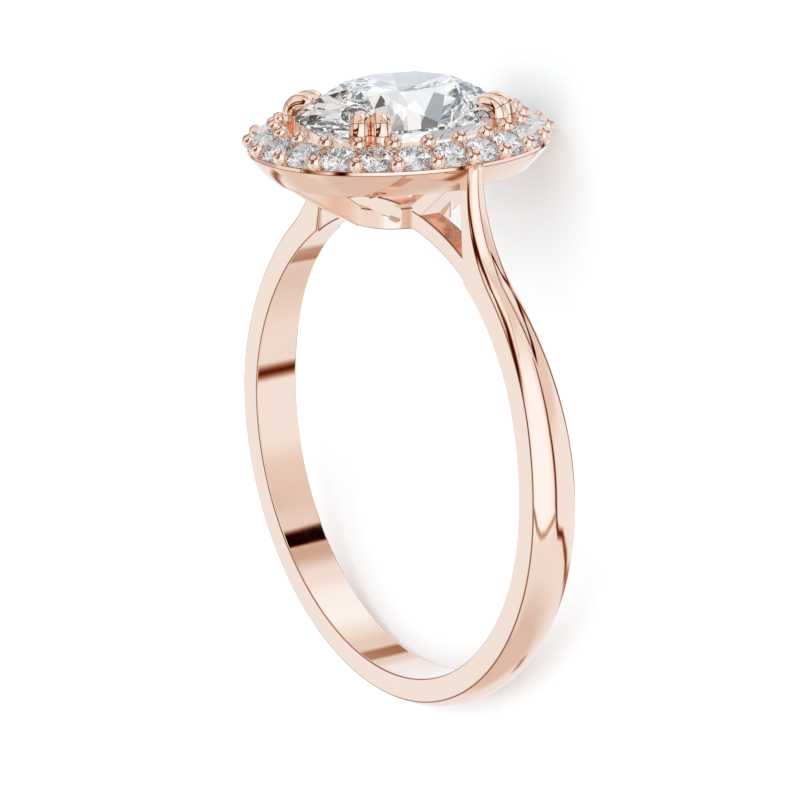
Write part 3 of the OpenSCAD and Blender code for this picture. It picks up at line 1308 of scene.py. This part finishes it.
@dataclass
class LightTent:
    """A white tent round the ring, lit from outside, with dark folds between its cloths.

    Bearings are degrees round from the ring's +X side towards +Y, and degrees up towards the
    stone. They start at -100. The camera is at -34, so its right is at 56, its left at -124
    and the far side at 146. A later cloth hangs in front of the earlier ones. The light in
    the folds is warmer, by the fold_tint powers of what is left of it.
    """

    frame: RingFrame
    gold: PolishedRoseGold
    first_bearing: float = -100.0
    haze: str = "EFD8CA"
    fold_tint: tuple[float, float, float] = (1.0, 1.85, 2.4)
    ground_light: tuple[float, float, float] = (1.34, 1.39, 1.42)
    stone_light: float = 1.02
    stone_contrast: float = 2.0
    cloths: list[Cloth] = field(
        default_factory=lambda: [
            # overhead, all round and then above the camera's left
            Cloth((-190, 350), (56, 190), "E8CAB9", soft=8),
            Cloth((-78, -30), (52, 76), "FBE5D6", soft=8),
            # underneath
            Cloth((-36, 108), (-190, -56), "D9B5A1", soft=32),
            Cloth((-290, 350), (-190, -68), "DEB9A6", soft=14),
            # far left
            Cloth((165, 232), (-6, 40), "CDAA9A", soft=12),
            Cloth((190, 236), (-34, -6), "F2E0D4", soft=8),
            Cloth((168, 216), (-68, -44), "E3C1AF", soft=12),
            # bright, from the camera to its right
            Cloth((-46, 28), (-25, 52), "F3DCCE", soft=8),
            Cloth((-38, 15), (-25, 42), "FFF2EA", soft=18),
            # the right side, and then the far side
            Cloth((28, 104), (-26, 32), "F4E0D4", soft=4),
            Cloth((28, 112), (10, 40), "E6C5B3", soft=14),
            Cloth((113, 152), (-22, 24), "F4E2D9", soft=6),
            Cloth((118, 150), (24, 46), "E6C9B8", soft=8),
            # high on the right
            Cloth((46, 66), (40, 60), "CFA48D", soft=16),
            Cloth((62, 90), (36, 62), "F3DDD1", soft=16),
            Cloth((82, 124), (44, 66), "FDF1E9", soft=22),
        ]
    )
    folds: list[Fold] = field(
        default_factory=lambda: [
            # up the right edge of the bright cloth
            Fold((25, -15), (24.5, 12), (5.5, 6), 0.93),
            Fold((24.5, 12), (28, 25), (6, 6), 0.9),
            Fold((28, 25), (34, 36), (6, 4.5), 0.85),
            Fold((46.5, 42), (47.5, 47), (3.8, 3.8), 0.99, soft=0.5),
            Fold((45, 51), (52, 57.5), (3.5, 3.5), 0.8),
            Fold((52, 57.5), (66, 60), (3.5, 3.2), 0.75),
            # over the right cloth and down its far edge
            Fold((48, 35), (62, 33.5), (4.5, 4.0), 0.97, soft=0.7),
            Fold((62, 33.5), (80, 34), (4.0, 3.8), 0.98, soft=0.7),
            Fold((80, 34), (98, 25), (3.8, 3.8), 0.97, soft=0.7),
            Fold((98, 25), (104, 12), (4.5, 6), 0.8),
            Fold((104, 12), (104, -11), (9, 7), 0.85),
            # along the foot of the bright cloth and of the right one
            Fold((-34, -17), (-27, -24), (3.2, 3.0), 0.6),
            Fold((-27, -24), (-16, -27.5), (3.0, 2.8), 0.45),
            Fold((-16, -27.5), (-4, -27), (2.8, 2.8), 0.4),
            Fold((-4, -27), (8, -24), (2.8, 2.8), 0.4),
            Fold((8, -24), (25, -19), (2.8, 3.0), 0.45),
            Fold((25, -15), (29, -22.5), (5.0, 3.6), 0.9),
            Fold((29, -22.5), (36, -26), (3.6, 3.6), 0.9),
            Fold((36, -26), (52, -26), (3.6, 3.2), 0.88),
            Fold((52, -26), (68, -29), (3.2, 3.0), 0.8),
            Fold((68, -29), (96, -30.5), (3, 3), 0.8),
            Fold((96, -30.5), (124, -25), (3, 4), 0.6),
            # the wide opening left of the camera
            Fold((-110, 3), (-66, -1), (13, 11), 0.9),
            Fold((-92, 14), (-62, 26), (10, 12), 0.93, soft=0.8),
            Fold((-68, -3), (-57, 14), (9, 10), 0.93, soft=0.8),
            Fold((-57, 14), (-53, 34), (10, 15), 0.97, soft=0.8),
            Fold((-53, 34), (-53, 48), (15, 12), 0.96, soft=0.8),
            Fold((-53, 48), (-66, 57), (11, 7), 0.88, soft=0.8),
            # overhead
            Fold((-100, 75), (150, 75), (4.5, 4.5), 0.7),
            # low down, left of the camera
            Fold((-62, -36), (-90, -60), (9, 9), 0.6),
            # faint, over the bright cloth
            Fold((-34, 42), (-27, 53), (3, 3), 0.3),
            Fold((-27, 53), (-18, 61), (3, 3), 0.28),
            # the far side and the far left
            Fold((105, -57), (116, -53), (5, 5), 0.45),
            Fold((139.5, 35.5), (141.5, 31.5), (3.5, 3.5), 0.55),
            Fold((178, 32), (188, -12), (10, 10), 0.4),
            Fold((184, -41), (164, -31), (2.5, 2.5), 0.62),
        ]
    )

    def seen_on_gold(self, code: str) -> tuple[float, float, float, float]:
        """Gives the light that the gold mirrors in this colour."""
        light = [seen / own for seen, own in zip(linear(code), linear(self.gold.colour))]
        return light[0], light[1], light[2], 1.0

    def bearing(self, tree: Tree) -> Socket:
        """Builds the ray's bearing.

        Args:
            tree: The world's node tree.

        Returns:
            A vector of degrees round, degrees up and 0.
        """
        way = add_node(tree, "ShaderNodeTexCoord").outputs["Generated"]
        middle = self.first_bearing + 180
        parts = []
        for axis in Matrix.Rotation(math.radians(middle), 3, "Z").col:
            along = add_node(
                tree, "ShaderNodeVectorMath", operation="DOT_PRODUCT",
                i0=way, i1=self.frame.direction(axis),
            )
            parts.append(along.outputs["Value"])
        around = add_node(tree, "ShaderNodeMath", operation="ARCTAN2", i0=parts[1], i1=parts[0])
        up = add_node(tree, "ShaderNodeMath", operation="ARCSINE", i0=parts[2])
        around_degrees = add_node(
            tree, "ShaderNodeMath", operation="MULTIPLY_ADD", i0=around.outputs[0],
            i1=math.degrees(1), i2=middle,
        )
        up_degrees = add_node(
            tree, "ShaderNodeMath", operation="MULTIPLY", i0=up.outputs[0], i1=math.degrees(1)
        )
        return add_node(
            tree, "ShaderNodeCombineXYZ", X=around_degrees.outputs[0], Y=up_degrees.outputs[0]
        ).outputs[0]

    def mirrored(self, tree: Tree) -> Socket:
        """Lays the cloths over the tent's haze and takes the folds' share of the light.

        Args:
            tree: The world's node tree.

        Returns:
            The light that the metal mirrors.
        """
        bearing = self.bearing(tree)
        colour: Socket | tuple[float, ...] = self.seen_on_gold(self.haze)
        for cloth in self.cloths:
            colour = add_node(
                tree, "ShaderNodeMix", data_type="RGBA", Factor=cloth.mask(tree, bearing),
                i6=colour, i7=self.seen_on_gold(cloth.colour),
            ).outputs[2]
        shares = [fold.light_left(tree, bearing) for fold in self.folds]
        left = shares[0]
        for share in shares[1:]:
            left = add_node(
                tree, "ShaderNodeMath", operation="MINIMUM", i0=left, i1=share
            ).outputs[0]
        warm = add_node(tree, "ShaderNodeCombineColor")
        for socket, power in zip(warm.inputs, self.fold_tint):
            part = add_node(tree, "ShaderNodeMath", operation="POWER", i0=left, i1=power)
            tree.links.new(part.outputs[0], socket)
        return add_node(
            tree, "ShaderNodeMix", data_type="RGBA", blend_type="MULTIPLY", Factor=1.0,
            i6=colour, i7=warm.outputs[0],
        ).outputs[2]

    def through_stones(self, tree: Tree, mirrored: Socket) -> Socket:
        """Turns the tent's light grey and deepens it, as the stones' facets show it.

        Args:
            tree: The world's node tree.
            mirrored: The light that the metal mirrors.

        Returns:
            The light that is seen through a stone.
        """
        grey = add_node(tree, "ShaderNodeRGBToBW", Color=mirrored)
        dimmed = add_node(
            tree, "ShaderNodeMath", operation="MULTIPLY", i0=grey.outputs[0], i1=self.stone_light
        )
        deep = add_node(
            tree, "ShaderNodeMath", operation="POWER", i0=dimmed.outputs[0], i1=self.stone_contrast
        ).outputs[0]
        return add_node(tree, "ShaderNodeCombineColor", i0=deep, i1=deep, i2=deep).outputs[0]

    def build(self) -> None:
        """Builds the tent as the world's light: even on the paper, mirrored by the metal."""
        world = bpy.data.worlds.new("light tent")
        bpy.context.scene.world = world
        world.use_nodes = True
        world.cycles.sampling_method = "NONE"
        tree = world.node_tree
        tree.nodes.clear()
        mirrored = self.mirrored(tree)
        rays = add_node(tree, "ShaderNodeLightPath")
        tent = add_node(
            tree, "ShaderNodeMix", data_type="RGBA", Factor=rays.outputs["Is Transmission Ray"],
            i6=mirrored, i7=self.through_stones(tree, mirrored),
        )
        even = add_node(
            tree, "ShaderNodeMath", operation="MAXIMUM",
            i0=rays.outputs["Is Camera Ray"], i1=rays.outputs["Is Diffuse Ray"],
        )
        light = add_node(
            tree, "ShaderNodeMix", data_type="RGBA", Factor=even.outputs[0],
            i6=tent.outputs[2], i7=(*self.ground_light, 1),
        )
        shade = add_node(tree, "ShaderNodeBackground", Color=light.outputs[2])
        add_node(tree, "ShaderNodeOutputWorld", i0=shade.outputs[0])


@dataclass(frozen=True)
class PhotoCamera:
    """The camera as it stood to the upright ring, in the ring's frame.

    focal_share is the focal length as a share of the picture's width.
    """

    place: tuple[float, float, float] = (112.344, -75.607, 41.426)
    right: tuple[float, float, float] = (0.56000, 0.82845, -0.00822)
    up: tuple[float, float, float] = (-0.22925, 0.16449, 0.95937)
    focal_share: float = 4018.03 / 800
    sensor_width: float = 36.0
    nearest: float = 0.005
    farthest: float = 20.0

    def build(self, frame: RingFrame) -> None:
        """Sets the camera up, turned with the ring into the model's frame.

        Args:
            frame: The ring's frame.
        """
        right = frame.direction(self.right)
        up = frame.direction(self.up)
        up = (up - right * up.dot(right)).normalized()
        back = right.cross(up)
        data = bpy.data.cameras.new("camera")
        camera = bpy.data.objects.new("camera", data)
        bpy.context.collection.objects.link(camera)
        turn = Matrix((right, up, back)).transposed().to_4x4()
        camera.matrix_world = Matrix.Translation(frame.matrix @ Vector(self.place)) @ turn
        data.sensor_fit = "HORIZONTAL"
        data.sensor_width = self.sensor_width
        data.lens = self.sensor_width * self.focal_share
        data.clip_start = self.nearest
        data.clip_end = self.farthest
        bpy.context.scene.camera = camera


# Putting it together


def grown_stone(node: Object, frame: RingFrame, gap: float) -> Object:
    """Copies a packed stone into the ring's frame and grows it by the clearance.

    Args:
        node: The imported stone.
        frame: The ring's frame.
        gap: The clearance in mm.

    Returns:
        The grown copy.
    """
    obj = copy_of(node, "stone_cutter")
    obj.parent = None
    obj.matrix_world = Matrix.Identity(4)
    obj.data.transform(frame.matrix.inverted())
    obj.data.materials.clear()
    with editing(obj):
        bpy.ops.mesh.remove_doubles(threshold=MERGE_DISTANCE)
        bpy.ops.mesh.normals_make_consistent(inside=False)
        bpy.ops.transform.shrink_fatten(value=gap, use_even_offset=True)
    return obj


def dress(obj: Object, material: Material, frame: RingFrame) -> None:
    """Lays a metal piece down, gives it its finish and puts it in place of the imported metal.

    Args:
        obj: The piece, in the ring's frame.
        material: Its finish.
        frame: The ring's frame.
    """
    frame.lay_down(obj)
    obj.data.materials.clear()
    obj.data.materials.append(material)
    obj.visible_transmission = False
    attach(obj, "root")
    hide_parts(METAL_NODE)
    logger.info("%s: %d faces", obj.name, len(obj.data.polygons))


def dress_stones(nodes: dict[str, Object]) -> None:
    """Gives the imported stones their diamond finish, a little greyer on the small ones.

    Args:
        nodes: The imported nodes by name.
    """
    large = CutDiamond().make()
    small = CutDiamond("small cut diamond", tint="E8E6E5").make()
    for name, node in nodes.items():
        if name != METAL_NODE:
            for slot in node.material_slots:
                slot.material = large if name == "center_stone" else small
    logger.info("stones: %d", len(nodes) - 1)


def set_light_paths(scene: bpy.types.Scene) -> None:
    """Lets light pass many facets, and shows the colours as they are.

    Args:
        scene: The scene.
    """
    scene.view_settings.view_transform = "Standard"
    scene.cycles.max_bounces = 24
    scene.cycles.glossy_bounces = 12
    scene.cycles.transmission_bounces = 24
    scene.cycles.caustics_reflective = True
    scene.cycles.caustics_refractive = True


def main() -> None:
    """Builds the ring's pieces, its light and its camera."""
    logging.basicConfig(level=logging.INFO, format="%(message)s")
    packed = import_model()
    frame = RingFrame()

    gold = PolishedRoseGold()
    polished = gold.make()
    tray = HaloTray()
    stone = grown_stone(packed["nodes"]["center_stone"], frame, STONE_GAP)
    dress(Hoop().build(), polished, frame)
    dress(tray.build(), polished, frame)
    dress(Beads().build(tray), polished, frame)
    dress(Claws().build(tray, stone), polished, frame)

    # Under the head the metal is rubbed by hand, and so duller. The rest of the metal doesn't
    # mirror these pieces, which keeps the halo's wall clear.
    rubbed = PolishedRoseGold("hand-rubbed rose gold", roughness=0.12, haze=0.05).make()
    for part in (Bridge(), BaseRing(), Gallery()):
        piece = part.build()
        piece.visible_glossy = False
        dress(piece, rubbed, frame)
    dress_stones(packed["nodes"])

    PaperFloor().build()
    LightTent(frame, gold).build()
    PhotoCamera().build(frame)
    set_light_paths(bpy.context.scene)


if __name__ == "__main__":
    main()
